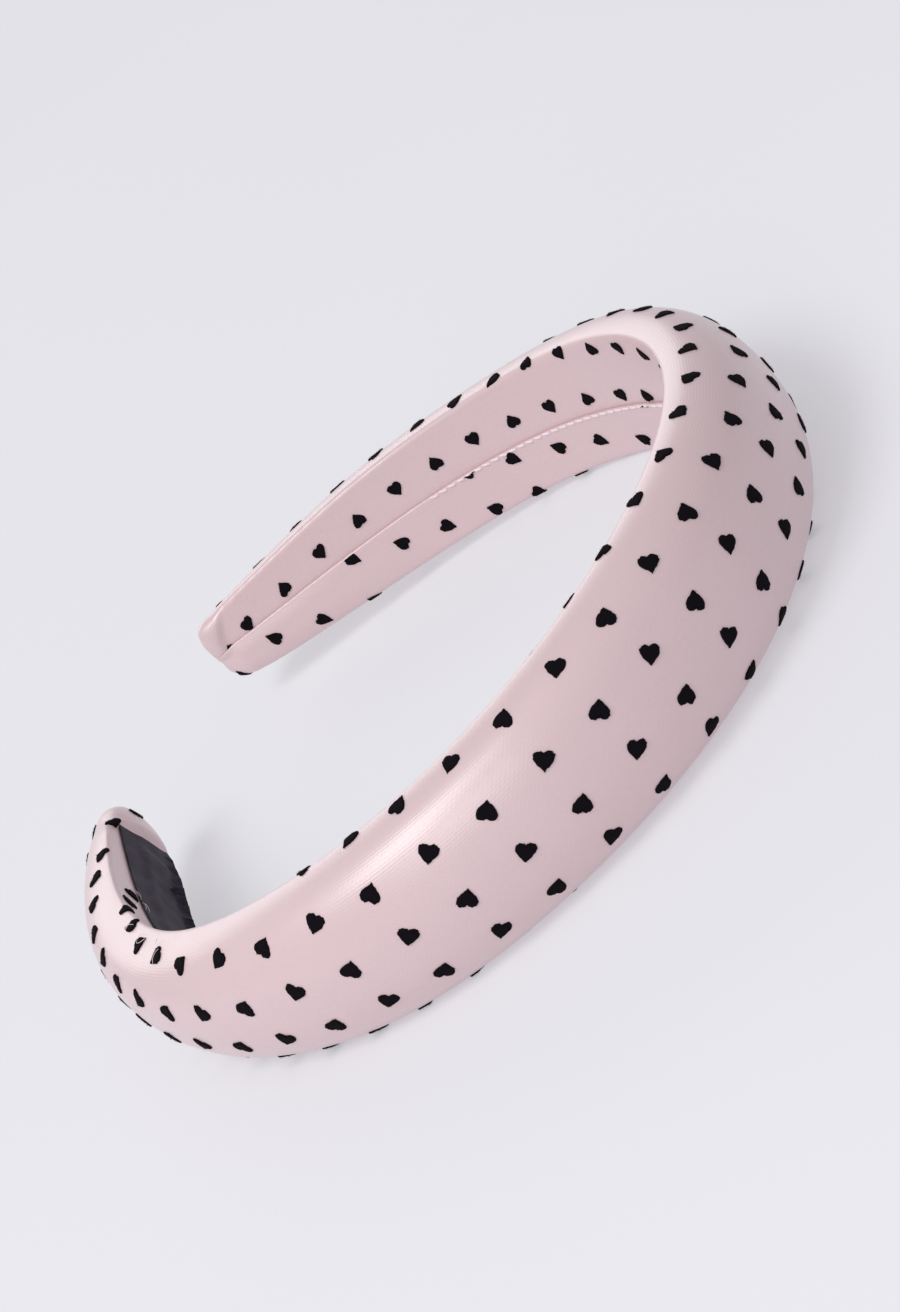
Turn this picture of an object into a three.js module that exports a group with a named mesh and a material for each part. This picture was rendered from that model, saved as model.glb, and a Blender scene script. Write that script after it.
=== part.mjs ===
import * as THREE from "three";

// A padded satin hair band, lying on its side. Millimetres, +Z up, the crown towards -Y,
// the arm with the ribbon patch at -X. The origin is the middle of the footprint, on the surface below.

// Driving dimensions of the band
const HALF_LENGTH = 190; // along the inside of the band, from the middle of the crown to one tip
const SHOULDER_POWER = 2.2; // roundness of the section from side wall to side wall: 2 is an ellipse
const DOME_POWER = 2.7; // roundness of the section from the inside face to the top of the padding
const FIT_GAP = 0.3; // clearance between neighbouring pieces

// Stations from the crown to a tip: share of the half length, bend radius of the inside line of each arm
// (negative flares outwards), height of the upper edge and depth of the lower edge from the middle line,
// thickness of the padding, and height of the stitched seam over the middle line
const STATIONS = [
  { share: 0.0, farBend: 57.5, nearBend: 57.5, upper: 15.3, lower: 15.6, thickness: 12.2, seam: -6.0 },
  { share: 0.2, farBend: 62, nearBend: 65, upper: 14.5, lower: 15.3, thickness: 11.6, seam: -5.8 },
  { share: 0.4, farBend: 61, nearBend: 61, upper: 13.3, lower: 14.9, thickness: 11.8, seam: -5.0 },
  { share: 0.6, farBend: 72, nearBend: 64, upper: 11.0, lower: 12.3, thickness: 11.7, seam: -2.8 },
  { share: 0.8, farBend: 195, nearBend: 195, upper: 10.5, lower: 9.7, thickness: 11.0, seam: -0.8 },
  { share: 1.0, farBend: -265, nearBend: -265, upper: 8.0, lower: 5.7, thickness: 5.5, seam: 0.5 },
];

// Tucked cloth ends: which arm (+1 is at +X), where the fold starts and ends along it, length of its
// rounded end and how square that is, how far the cloth stands proud of the band and off its inside face
const TIP_FOLDS = [
  {
    name: "tip_fold_far", arm: 1, start: 182, end: 190,
    roundLength: 3.0, endPower: 3.2, proud: 0.6, inward: 0.0,
  },
  {
    name: "tip_fold_near", arm: -1, start: 172, end: 186,
    roundLength: 12.0, endPower: 1.8, proud: 0.2, inward: 1.5,
  },
];

// Cloth edge turned in over the inside face and stitched along the seam
const FLAP_THICKNESS = 1.0;
const FLAP_EDGE_THICKNESS = 0.5; // where it comes round the lower edge
const FLAP_EDGE_INSET = 0.8; // from the lower edge of the inside face
const FLAP_LAP = 0.6; // how far it reaches past the seam
const FLAP_END_INSETS = { far: 2.5, near: 18.5 }; // from the end of each arm

// Ribbon patch inside the near arm
const LABEL_LENGTH = 50;
const LABEL_WIDTH = 11;
const LABEL_END_INSET = 18.5; // from the end of the near arm
const LABEL_THICKNESS = 0.8;
const LABEL_EDGE_INSET = 4.0; // from the lower edge of the inside face
const LABEL_STEP_WIDTH = 2.5; // over which it climbs from the inside face onto the flap

// How the band rests: on its lower edge, from the crown to the second of these stations of each arm
const REST_SHARES = { front: 0.0, back: 0.44 };
const REST_FLATTENING = 0.5; // how far the padding gives where it rests

// Fineness of the meshes
const LINE_STEPS = 380; // integration steps along one arm
const BAND_SEGMENTS = 76;
const DOME_SEGMENTS = 20;
const INSIDE_SEGMENTS = 4;
const LABEL_SEGMENTS = 20;
const TIP_SEGMENTS = 8;

const SATIN = { color: 0xdcc6ca, roughness: 0.38, metalness: 0.0 };
const RIBBON = { color: 0x3b363f, roughness: 0.7, metalness: 0.0 };

/** A value of the station table at any share, on a smooth curve through its rows and level at the crown. */
function stationValue(valueOf, share) {
  const last = STATIONS.length - 1;
  const scaled = THREE.MathUtils.clamp(share, 0, 1) * last;
  const row = Math.min(Math.floor(scaled), last - 1);
  const t = scaled - row;
  const at = (index) => {
    if (index < 0) return valueOf(STATIONS[-index]);
    if (index > last) return 2 * valueOf(STATIONS[last]) - valueOf(STATIONS[2 * last - index]);
    return valueOf(STATIONS[index]);
  };
  const startSlope = (at(row + 1) - at(row - 1)) / 2;
  const endSlope = (at(row + 2) - at(row)) / 2;
  const t2 = t * t;
  const t3 = t2 * t;
  const start = at(row) * (2 * t3 - 3 * t2 + 1) + startSlope * (t3 - 2 * t2 + t);
  return start + at(row + 1) * (3 * t2 - 2 * t3) + endSlope * (t3 - t2);
}

/** The inside line of one arm: turn angle and place at equal steps from the crown to the tip. */
function traceInsideLine(radiusOf) {
  const step = HALF_LENGTH / LINE_STEPS;
  const line = [{ turn: 0, x: 0, y: 0 }];
  for (let i = 0; i < LINE_STEPS; i += 1) {
    const bend = stationValue((row) => 1 / radiusOf(row), (i + 0.5) / LINE_STEPS);
    const { turn, x, y } = line[i];
    const middleTurn = turn + (bend * step) / 2;
    line.push({
      turn: turn + bend * step,
      x: x + Math.cos(middleTurn) * step,
      y: y + Math.sin(middleTurn) * step,
    });
  }
  return line;
}

const FAR_LINE = traceInsideLine((row) => row.farBend);
const NEAR_LINE = traceInsideLine((row) => row.nearBend);

/** Sizes and directions of the band at a signed distance from the crown, positive along the +X arm. */
function bandAt(along) {
  const arm = Math.sign(along) || 1;
  const share = Math.abs(along) / HALF_LENGTH;
  const scaled = Math.min(share, 1) * LINE_STEPS;
  const index = Math.min(Math.floor(scaled), LINE_STEPS - 1);
  const t = scaled - index;
  const line = arm > 0 ? FAR_LINE : NEAR_LINE;
  const mix = (key) => THREE.MathUtils.lerp(line[index][key], line[index + 1][key], t);
  const turn = mix("turn");
  return {
    x: arm * mix("x"),
    y: mix("y"),
    outX: arm * Math.sin(turn),
    outY: -Math.cos(turn),
    upper: stationValue((row) => row.upper, share),
    lower: stationValue((row) => row.lower, share),
    thickness: stationValue((row) => row.thickness, share),
    seam: stationValue((row) => row.seam, share),
  };
}

/** The surface that the band lies on, as a height in the band's own frame at a place along Y. */
function makeRestPlane() {
  const front = bandAt(REST_SHARES.front * HALF_LENGTH);
  const back = bandAt(REST_SHARES.back * HALF_LENGTH);
  const slope = (front.lower - back.lower) / (back.y - front.y);
  const height = -front.lower - slope * front.y + REST_FLATTENING;
  return { slope, heightAt: (y) => height + slope * y };
}

const REST_PLANE = makeRestPlane();

/** A point of a section, from the inside line: height across the band and distance outwards. */
function placePoint(band, { height, out }) {
  const y = band.y + band.outY * out;
  const z = Math.max(height, REST_PLANE.heightAt(y));
  return new THREE.Vector3(band.x + band.outX * out, y, z);
}

/** The padded section: a dome over a flat inside face, its outline running once round. */
function paddedSection(upper, lower, thickness) {
  const outline = [];
  for (let i = 0; i <= DOME_SEGMENTS; i += 1) {
    const angle = (Math.PI * i) / DOME_SEGMENTS;
    const across = Math.cos(angle);
    outline.push({
      height: (across > 0 ? upper : -lower) * Math.abs(across) ** (2 / SHOULDER_POWER),
      out: thickness * Math.sin(angle) ** (2 / DOME_POWER),
    });
  }
  for (let i = 1; i < INSIDE_SEGMENTS; i += 1) {
    outline.push({ height: THREE.MathUtils.lerp(-lower, upper, i / INSIDE_SEGMENTS), out: 0 });
  }
  return outline;
}

/** A closed mesh through a row of sections, each { band, outline } with the same number of points. */
function loft(sections) {
  const ringSize = sections[0].outline.length;
  const positions = [];
  for (const { band, outline } of sections) {
    for (const point of outline) positions.push(...placePoint(band, point).toArray());
  }
  const triangles = [];
  for (let ring = 0; ring + 1 < sections.length; ring += 1) {
    for (let i = 0; i < ringSize; i += 1) {
      const a = ring * ringSize + i;
      const b = ring * ringSize + ((i + 1) % ringSize);
      triangles.push([a, b, a + ringSize], [b, b + ringSize, a + ringSize]);
    }
  }
  triangles.push(...endCap(sections[0].outline, 0, false));
  triangles.push(...endCap(sections.at(-1).outline, (sections.length - 1) * ringSize, true));
  return facingOut(positions, triangles);
}

/** Triangles that close one end of a loft; at its last end they run the same way round as the outline. */
function endCap(outline, offset, atLastEnd) {
  const flat = outline.map(({ height, out }) => new THREE.Vector2(height, out));
  const clockwise = THREE.ShapeUtils.isClockWise(flat);
  return THREE.ShapeUtils.triangulateShape(flat, []).map((face) => {
    const sameWay = THREE.ShapeUtils.isClockWise(face.map((index) => flat[index])) === clockwise;
    const ordered = sameWay === atLastEnd ? face : [...face].reverse();
    return ordered.map((index) => index + offset);
  });
}

/** A geometry from points and triangles, turned so that its faces point outwards. */
function facingOut(positions, triangles) {
  const corner = (index) => new THREE.Vector3().fromArray(positions, index * 3);
  let volume = 0;
  for (const [a, b, c] of triangles) volume += corner(a).dot(corner(b).cross(corner(c))) / 6;
  const index = triangles.flatMap((face) => (volume < 0 ? [...face].reverse() : face));
  const geometry = new THREE.BufferGeometry();
  geometry.setAttribute("position", new THREE.Float32BufferAttribute(positions, 3));
  geometry.setIndex(index);
  geometry.computeVertexNormals();
  return geometry;
}

/** Sections at equal steps between two places along the band. */
function sectionsBetween(start, end, segments, outlineOf) {
  const sections = [];
  for (let i = 0; i <= segments; i += 1) {
    const along = THREE.MathUtils.lerp(start, end, i / segments);
    const band = bandAt(along);
    sections.push({ band, outline: outlineOf(band, i / segments) });
  }
  return sections;
}

/** The padded band, from the fold of one tip to the fold of the other. */
function makePaddedBand() {
  const ends = TIP_FOLDS.map(({ arm, start }) => arm * (start - FIT_GAP));
  const outlineOf = (band) => paddedSection(band.upper, band.lower, band.thickness);
  return loft(sectionsBetween(Math.min(...ends), Math.max(...ends), BAND_SEGMENTS, outlineOf));
}

/** A tucked cloth end: it goes on from the band, a little proud of it, and rounds off. */
function makeTipFold({ arm, start, end, roundLength, endPower, proud, inward }) {
  const outlineOf = (band, share) => {
    const toEnd = (end - start) * (1 - share);
    const intoRound = Math.max(0, 1 - toEnd / roundLength);
    const scale = Math.max(0.3, (1 - intoRound ** endPower) ** (1 / endPower));
    const middle = band.thickness / 2;
    const depth = band.thickness + proud + inward;
    const outline = paddedSection(band.upper + proud, band.lower + proud, depth);
    return outline.map(({ height, out }) => ({
      height: height * scale,
      out: middle + (out - inward - middle) * scale,
    }));
  };
  return loft(sectionsBetween(arm * start, arm * end, TIP_SEGMENTS, outlineOf));
}

/** The turned-in cloth edge on the lower half of the inside face, with its fold just past the seam. */
function makeInsideFlap() {
  const face = -FIT_GAP;
  const farEnd = HALF_LENGTH - FLAP_END_INSETS.far;
  const nearEnd = HALF_LENGTH - FLAP_END_INSETS.near;
  const outlineOf = ({ lower, seam }) => {
    const edge = -lower + FLAP_EDGE_INSET;
    const fold = seam + FLAP_LAP;
    const middle = (edge + fold) / 2;
    return [
      { height: edge, out: face },
      { height: fold, out: face },
      { height: fold + FLAP_THICKNESS / 3, out: face - FLAP_THICKNESS / 2 },
      { height: fold, out: face - FLAP_THICKNESS },
      { height: middle, out: face - FLAP_THICKNESS },
      { height: edge, out: face - FLAP_EDGE_THICKNESS },
    ];
  };
  return loft(sectionsBetween(-nearEnd, farEnd, BAND_SEGMENTS, outlineOf));
}

/** The ribbon patch: its lower part lies on the flap, and it steps down to the inside face above the seam. */
function makeInsideLabel() {
  const onFace = -FIT_GAP;
  const onFlap = -FLAP_THICKNESS - 2 * FIT_GAP;
  const outlineOf = ({ lower, seam }) => {
    const lowEdge = -lower + LABEL_EDGE_INSET;
    const topEdge = lowEdge + LABEL_WIDTH;
    const flapTop = seam + FLAP_LAP + FLAP_THICKNESS / 3 + FIT_GAP;
    const stepTop = Math.min(flapTop + LABEL_STEP_WIDTH, topEdge - FIT_GAP);
    const underside = [
      { height: lowEdge, out: onFlap },
      { height: flapTop, out: onFlap },
      { height: stepTop, out: onFace },
      { height: topEdge, out: onFace },
    ];
    const outside = underside.map(({ height, out }) => ({ height, out: out - LABEL_THICKNESS }));
    return [...underside, ...outside.reverse()];
  };
  const start = -(HALF_LENGTH - LABEL_END_INSET);
  return loft(sectionsBetween(start, start + LABEL_LENGTH, LABEL_SEGMENTS, outlineOf));
}

/** A named mesh with its own material. */
function makePiece(name, geometry, finish) {
  const piece = new THREE.Mesh(geometry, new THREE.MeshStandardMaterial(finish));
  piece.name = name;
  return piece;
}

const band = new THREE.Group();
band.add(makePiece("padded_band", makePaddedBand(), SATIN));
band.add(makePiece("inside_flap", makeInsideFlap(), SATIN));
for (const fold of TIP_FOLDS) band.add(makePiece(fold.name, makeTipFold(fold), SATIN));
band.add(makePiece("inside_label", makeInsideLabel(), RIBBON));

// Lay the band's resting plane level, then bring the middle of its footprint to the origin.
band.rotation.x = -Math.atan(REST_PLANE.slope);
band.updateMatrixWorld(true);
const footprint = new THREE.Box3().setFromObject(band, true);
const middle = footprint.getCenter(new THREE.Vector3());
band.position.set(-middle.x, -middle.y, -footprint.min.z);

const headband = new THREE.Group();
headband.add(band);

export default headband;
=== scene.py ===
"""A padded satin headband with small flocked hearts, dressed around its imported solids."""

import logging
import math
from dataclasses import dataclass
from enum import Enum
from functools import cached_property

import bpy
import numpy as np
from mathutils import Matrix, Vector


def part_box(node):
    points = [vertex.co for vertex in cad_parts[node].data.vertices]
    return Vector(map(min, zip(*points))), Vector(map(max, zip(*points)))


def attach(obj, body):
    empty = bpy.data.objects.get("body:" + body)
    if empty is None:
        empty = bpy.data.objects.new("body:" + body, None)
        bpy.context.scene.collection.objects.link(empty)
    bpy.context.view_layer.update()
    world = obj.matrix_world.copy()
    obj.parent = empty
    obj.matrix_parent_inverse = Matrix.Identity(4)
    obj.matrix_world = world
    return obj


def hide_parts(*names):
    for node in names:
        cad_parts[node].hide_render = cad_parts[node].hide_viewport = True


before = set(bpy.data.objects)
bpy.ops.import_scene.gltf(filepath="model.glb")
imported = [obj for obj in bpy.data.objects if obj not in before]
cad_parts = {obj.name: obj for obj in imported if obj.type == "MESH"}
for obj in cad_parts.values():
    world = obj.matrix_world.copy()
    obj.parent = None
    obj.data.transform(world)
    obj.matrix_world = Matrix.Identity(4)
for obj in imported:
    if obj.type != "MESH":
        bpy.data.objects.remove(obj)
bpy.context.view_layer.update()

LOG = logging.getLogger("headband")
BODY = "root"
MM = 0.001
CLOTH_MAP = "cloth"
SHARP_ANGLE = math.radians(75)
Colour = tuple[float, float, float, float]
Triple = tuple[float, float, float]


class Slot(Enum):
    """The record's material slots."""

    SATIN = "satin"
    RIBBON = "ribbon"
    FLOCK = "flock"
    THREAD = "thread"


class Arm(Enum):
    """The two arms of the band, by the sign of their distance from the crown."""

    FAR = 1
    NEAR = -1


class Value:
    """A number that changes over a surface, with arithmetic that adds Math nodes."""

    def __init__(self, graph: "Graph", socket: bpy.types.NodeSocket) -> None:
        """Wraps one output socket of a graph."""
        self.graph = graph
        self.socket = socket

    def _math(self, operation: str, first: object, second: object) -> "Value":
        """The result of one Math node on two values or links."""
        node = self.graph.node("ShaderNodeMath", {"operation": operation}, {0: first, 1: second})
        return Value(self.graph, node.outputs[0])

    def __add__(self, other: object) -> "Value":
        """This value plus another."""
        return self._math("ADD", self, other)

    def __mul__(self, other: object) -> "Value":
        """This value times another."""
        return self._math("MULTIPLY", self, other)


class Graph:
    """The node tree of one material."""

    def __init__(self, name: str) -> None:
        """Makes an empty material.

        Args:
            name: its name.
        """
        self.material = bpy.data.materials.new(name)
        self.material.use_nodes = True
        self.tree = self.material.node_tree
        self.tree.nodes.clear()

    def node(
        self,
        kind: str,
        settings: dict[str, object] | None = None,
        inputs: dict[str | int, object] | None = None,
    ) -> bpy.types.Node:
        """Adds a node.

        Args:
            kind: the node's type.
            settings: its properties, set first.
            inputs: values or links of its sockets, by name or place.

        Returns:
            The new node.
        """
        node = self.tree.nodes.new(kind)
        for name, value in (settings or {}).items():
            setattr(node, name, value)
        for name, value in (inputs or {}).items():
            self.feed(node.inputs[name], value)
        return node

    def feed(self, socket: bpy.types.NodeSocket, value: object) -> None:
        """Sets or links one socket.

        Args:
            socket: the input socket.
            value: a Value, an output socket or a plain value.
        """
        if isinstance(value, Value):
            self.tree.links.new(value.socket, socket)
        elif isinstance(value, bpy.types.NodeSocket):
            self.tree.links.new(value, socket)
        else:
            socket.default_value = value

    def cloth(self) -> bpy.types.NodeSocket:
        """Millimetres along and across the cloth."""
        return self.node("ShaderNodeUVMap", {"uv_map": CLOTH_MAP}).outputs["UV"]

    def place(self) -> bpy.types.NodeSocket:
        """Metres in the row frame."""
        return self.node("ShaderNodeTexCoord").outputs["Object"]

    def noise(self, where: bpy.types.NodeSocket, scale: float, detail: float) -> Value:
        """Soft random values from 0 to 1, by their coordinates, fineness and number of finer octaves."""
        node = self.node("ShaderNodeTexNoise", None, {"Vector": where, "Scale": scale, "Detail": detail})
        return Value(self, node.outputs[0])

    def ribs(self, where: bpy.types.NodeSocket, direction: str, pitch: float, waver: float) -> Value:
        """Ribs from 0 to 1 across one direction of the coordinates.

        Args:
            where: the coordinates.
            direction: the direction across the ribs: X, Y, Z or DIAGONAL.
            pitch: from rib to rib, in the coordinates' own unit.
            waver: how far the ribs stray.

        Returns:
            The ribs.
        """
        wave_pitch = math.pi / 10
        waver_scale = 1.5
        settings = {"wave_type": "BANDS", "bands_direction": direction}
        inputs = {"Vector": where, "Scale": wave_pitch / pitch}
        inputs |= {"Distortion": waver, "Detail Scale": waver_scale}
        return Value(self, self.node("ShaderNodeTexWave", settings, inputs).outputs["Fac"])

    def mix(self, share: object, first: object, second: object) -> bpy.types.NodeSocket:
        """A colour between two.

        Args:
            share: how much of the second colour, from 0 to 1.
            first: the first colour or link.
            second: the second colour or link.

        Returns:
            The mixed colour.
        """
        node = self.node("ShaderNodeMix", {"data_type": "RGBA"})
        self.feed(node.inputs["Factor"], share)
        colours = [socket for socket in node.inputs if socket.type == "RGBA"]
        self.feed(colours[0], first)
        self.feed(colours[1], second)
        return next(socket for socket in node.outputs if socket.type == "RGBA")

    def bump(
        self, height: Value, depth: float, strength: float, below: bpy.types.NodeSocket | None = None
    ) -> bpy.types.NodeSocket:
        """A normal that follows a height.

        Args:
            height: the height, from 0 to 1.
            depth: the height's full range in metres.
            strength: how much of it shows.
            below: the normal of a coarser bump under it.

        Returns:
            The normal.
        """
        inputs = {"Height": height, "Distance": depth, "Strength": strength}
        if below is not None:
            inputs["Normal"] = below
        return self.node("ShaderNodeBump", None, inputs).outputs["Normal"]

    def finish(self, inputs: dict[str, object]) -> bpy.types.Material:
        """Closes the tree with a Principled shader.

        Args:
            inputs: values or links of the shader's sockets.

        Returns:
            The material.
        """
        shader = self.node("ShaderNodeBsdfPrincipled", None, inputs)
        self.node("ShaderNodeOutputMaterial", None, {"Surface": shader.outputs["BSDF"]})
        return self.material


@dataclass(frozen=True)
class SatinFinish:
    """Pale pink satin: a soft broad sheen over fine ribs that run along the band."""

    colour: Colour = (0.695, 0.527, 0.543, 1.0)
    deep_colour: Colour = (0.62, 0.447, 0.464, 1.0)
    roughness: float = 0.34
    roughness_spread: float = 0.08
    sheen: float = 0.12
    sheen_tint: Colour = (1.0, 0.84, 0.86, 1.0)
    sheen_roughness: float = 0.4
    gloss: float = 0.3
    gloss_roughness: float = 0.3
    shine: float = 0.9
    rib_pitch: float = 0.5
    rib_waver: float = 0.5
    rib_share: float = 0.5
    twill_pitch: float = 0.42
    twill_waver: float = 0.3
    twill_share: float = 0.2
    slub_scale: float = 1.6
    slub_detail: float = 3.0
    slub_share: float = 0.5
    weave_depth: float = 0.00005
    weave_strength: float = 0.45
    pucker_scale: float = 70.0
    pucker_detail: float = 2.0
    pucker_depth: float = 0.0003
    pucker_strength: float = 0.5
    slub_deepening: float = 0.5
    pucker_deepening: float = 0.3
    least_deepening: float = -0.15

    def make(self) -> bpy.types.Material:
        """The satin's material."""
        graph = Graph("satin_pink")
        cloth = graph.cloth()
        ribs = graph.ribs(cloth, "Y", self.rib_pitch, self.rib_waver)
        twill = graph.ribs(cloth, "DIAGONAL", self.twill_pitch, self.twill_waver)
        slubs = graph.noise(cloth, self.slub_scale, self.slub_detail)
        pucker = graph.noise(graph.place(), self.pucker_scale, self.pucker_detail)
        weave = ribs * self.rib_share + twill * self.twill_share + slubs * self.slub_share
        deepening = slubs * self.slub_deepening + pucker * self.pucker_deepening + self.least_deepening
        padding = graph.bump(pucker, self.pucker_depth, self.pucker_strength)
        return graph.finish(
            {
                "Base Color": graph.mix(deepening, self.colour, self.deep_colour),
                "Roughness": slubs * self.roughness_spread + (self.roughness - self.roughness_spread / 2),
                "Specular IOR Level": self.shine,
                "Sheen Weight": self.sheen,
                "Sheen Roughness": self.sheen_roughness,
                "Sheen Tint": self.sheen_tint,
                "Coat Weight": self.gloss,
                "Coat Roughness": self.gloss_roughness,
                "Normal": graph.bump(weave, self.weave_depth, self.weave_strength, padding),
            }
        )


@dataclass(frozen=True)
class FlockFinish:
    """Black flock: short upright fibres that catch little light."""

    colour: Colour = (0.003, 0.002, 0.0035, 1.0)
    tip_colour: Colour = (0.009, 0.007, 0.01, 1.0)
    roughness: float = 0.9
    shine: float = 0.06
    fibre_scale: float = 9000.0
    fibre_detail: float = 2.0
    fibre_depth: float = 0.00012
    fibre_strength: float = 0.6

    def make(self) -> bpy.types.Material:
        """The flock's material."""
        graph = Graph("flock_black")
        fibres = graph.noise(graph.place(), self.fibre_scale, self.fibre_detail)
        return graph.finish(
            {
                "Base Color": graph.mix(fibres, self.colour, self.tip_colour),
                "Roughness": self.roughness,
                "Specular IOR Level": self.shine,
                "Normal": graph.bump(fibres, self.fibre_depth, self.fibre_strength),
            }
        )


@dataclass(frozen=True)
class RibbonFinish:
    """Plain charcoal ribbon with a close weave; its sheen is painted in as a paler random mottle."""

    colour: Colour = (0.008, 0.0065, 0.0125, 1.0)
    # The lighter tone that the painted sheen pales the charcoal towards.
    painted_sheen_colour: Colour = (0.085, 0.07, 0.105, 1.0)
    roughness: float = 0.55
    roughness_spread: float = 0.2
    shine: float = 0.2
    rib_pitch: float = 0.45
    rib_waver: float = 0.4
    weave_depth: float = 0.00006
    weave_strength: float = 0.5
    mottle_scale: float = 0.22
    mottle_detail: float = 4.0
    sheen_paling: float = 1.6
    least_paling: float = -0.45
    mottle_relief: float = 0.5

    def make(self) -> bpy.types.Material:
        """The ribbon's material."""
        graph = Graph("ribbon_charcoal")
        cloth = graph.cloth()
        warp = graph.ribs(cloth, "X", self.rib_pitch, self.rib_waver)
        weft = graph.ribs(cloth, "Y", self.rib_pitch, self.rib_waver)
        mottle = graph.noise(cloth, self.mottle_scale, self.mottle_detail)
        # Painted sheen: a random mottle pales the charcoal towards a lighter tone that stands in for the
        # ribbon's sheen.
        paling = mottle * self.sheen_paling + self.least_paling
        weave = warp * weft + mottle * self.mottle_relief
        return graph.finish(
            {
                "Base Color": graph.mix(paling, self.colour, self.painted_sheen_colour),
                "Roughness": mottle * self.roughness_spread + self.roughness,
                "Specular IOR Level": self.shine,
                "Normal": graph.bump(weave, self.weave_depth, self.weave_strength),
            }
        )


@dataclass(frozen=True)
class ThreadFinish:
    """Pale sewing thread with a fine twist."""

    colour: Colour = (0.87, 0.755, 0.78, 1.0)
    shade: Colour = (0.76, 0.61, 0.64, 1.0)
    roughness: float = 0.5
    twist_pitch: float = 0.00035
    twist_waver: float = 0.2
    twist_shading: float = 0.5
    twist_depth: float = 0.00004
    twist_strength: float = 0.4

    def make(self) -> bpy.types.Material:
        """The thread's material."""
        graph = Graph("thread_pale_pink")
        twist = graph.ribs(graph.place(), "DIAGONAL", self.twist_pitch, self.twist_waver)
        return graph.finish(
            {
                "Base Color": graph.mix(twist * self.twist_shading, self.colour, self.shade),
                "Roughness": self.roughness,
                "Normal": graph.bump(twist, self.twist_depth, self.twist_strength),
            }
        )


@dataclass(frozen=True)
class FloorFinish:
    """A pale sweep that is lit from below as well as from above."""

    colour: Colour = (0.4, 0.398, 0.416, 1.0)
    glow: Colour = (0.83, 0.825, 0.865, 1.0)
    glow_strength: float = 0.455
    roughness: float = 0.8
    shine: float = 0.1
    grain_scale: float = 3.0
    grain_detail: float = 2.0
    grain_paling: float = 0.1

    def make(self) -> bpy.types.Material:
        """The floor's material."""
        graph = Graph("floor_pale")
        grain = graph.noise(graph.place(), self.grain_scale, self.grain_detail)
        return graph.finish(
            {
                "Base Color": graph.mix(grain * self.grain_paling, self.colour, self.glow),
                "Roughness": self.roughness,
                "Specular IOR Level": self.shine,
                "Emission Color": self.glow,
                "Emission Strength": self.glow_strength,
            }
        )


@dataclass(frozen=True)
class Station:
    """One row of the band's sizes, at a share of the way from the crown to a tip, in millimetres."""

    share: float
    far_bend: float
    near_bend: float
    upper: float
    lower: float
    thickness: float
    seam: float


@dataclass(frozen=True)
class ArmEnd:
    """How one arm ends, in millimetres from the crown: its tucked fold, the rounding of it and its bulge.

    The cloth that is tucked in makes the inside face bulge past a lip, which is lip millimetres from the
    crown at its lower end and lip_lean further back at the upper corner. The lower edge draws up by lift on
    the way to the end, and the corners there are softer by softness.
    """

    start: float
    end: float
    round_length: float
    end_power: float
    lip: float
    lip_lean: float
    lip_round: float
    bulge: float
    softness: float
    above_seam: bool = False
    lift: float = 0.0
    lift_length: float = 10.0


def bent_row(values: list[float]) -> np.ndarray:
    """A row of station values with one more at each end, mirrored at the crown and run on past the tip."""
    return np.array([values[1], *values, 2 * values[-1] - values[-2]])


def eased(share: np.ndarray) -> np.ndarray:
    """A share kept between 0 and 1, level at both ends."""
    kept = np.clip(share, 0, 1)
    return kept * kept * (3 - 2 * kept)


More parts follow.
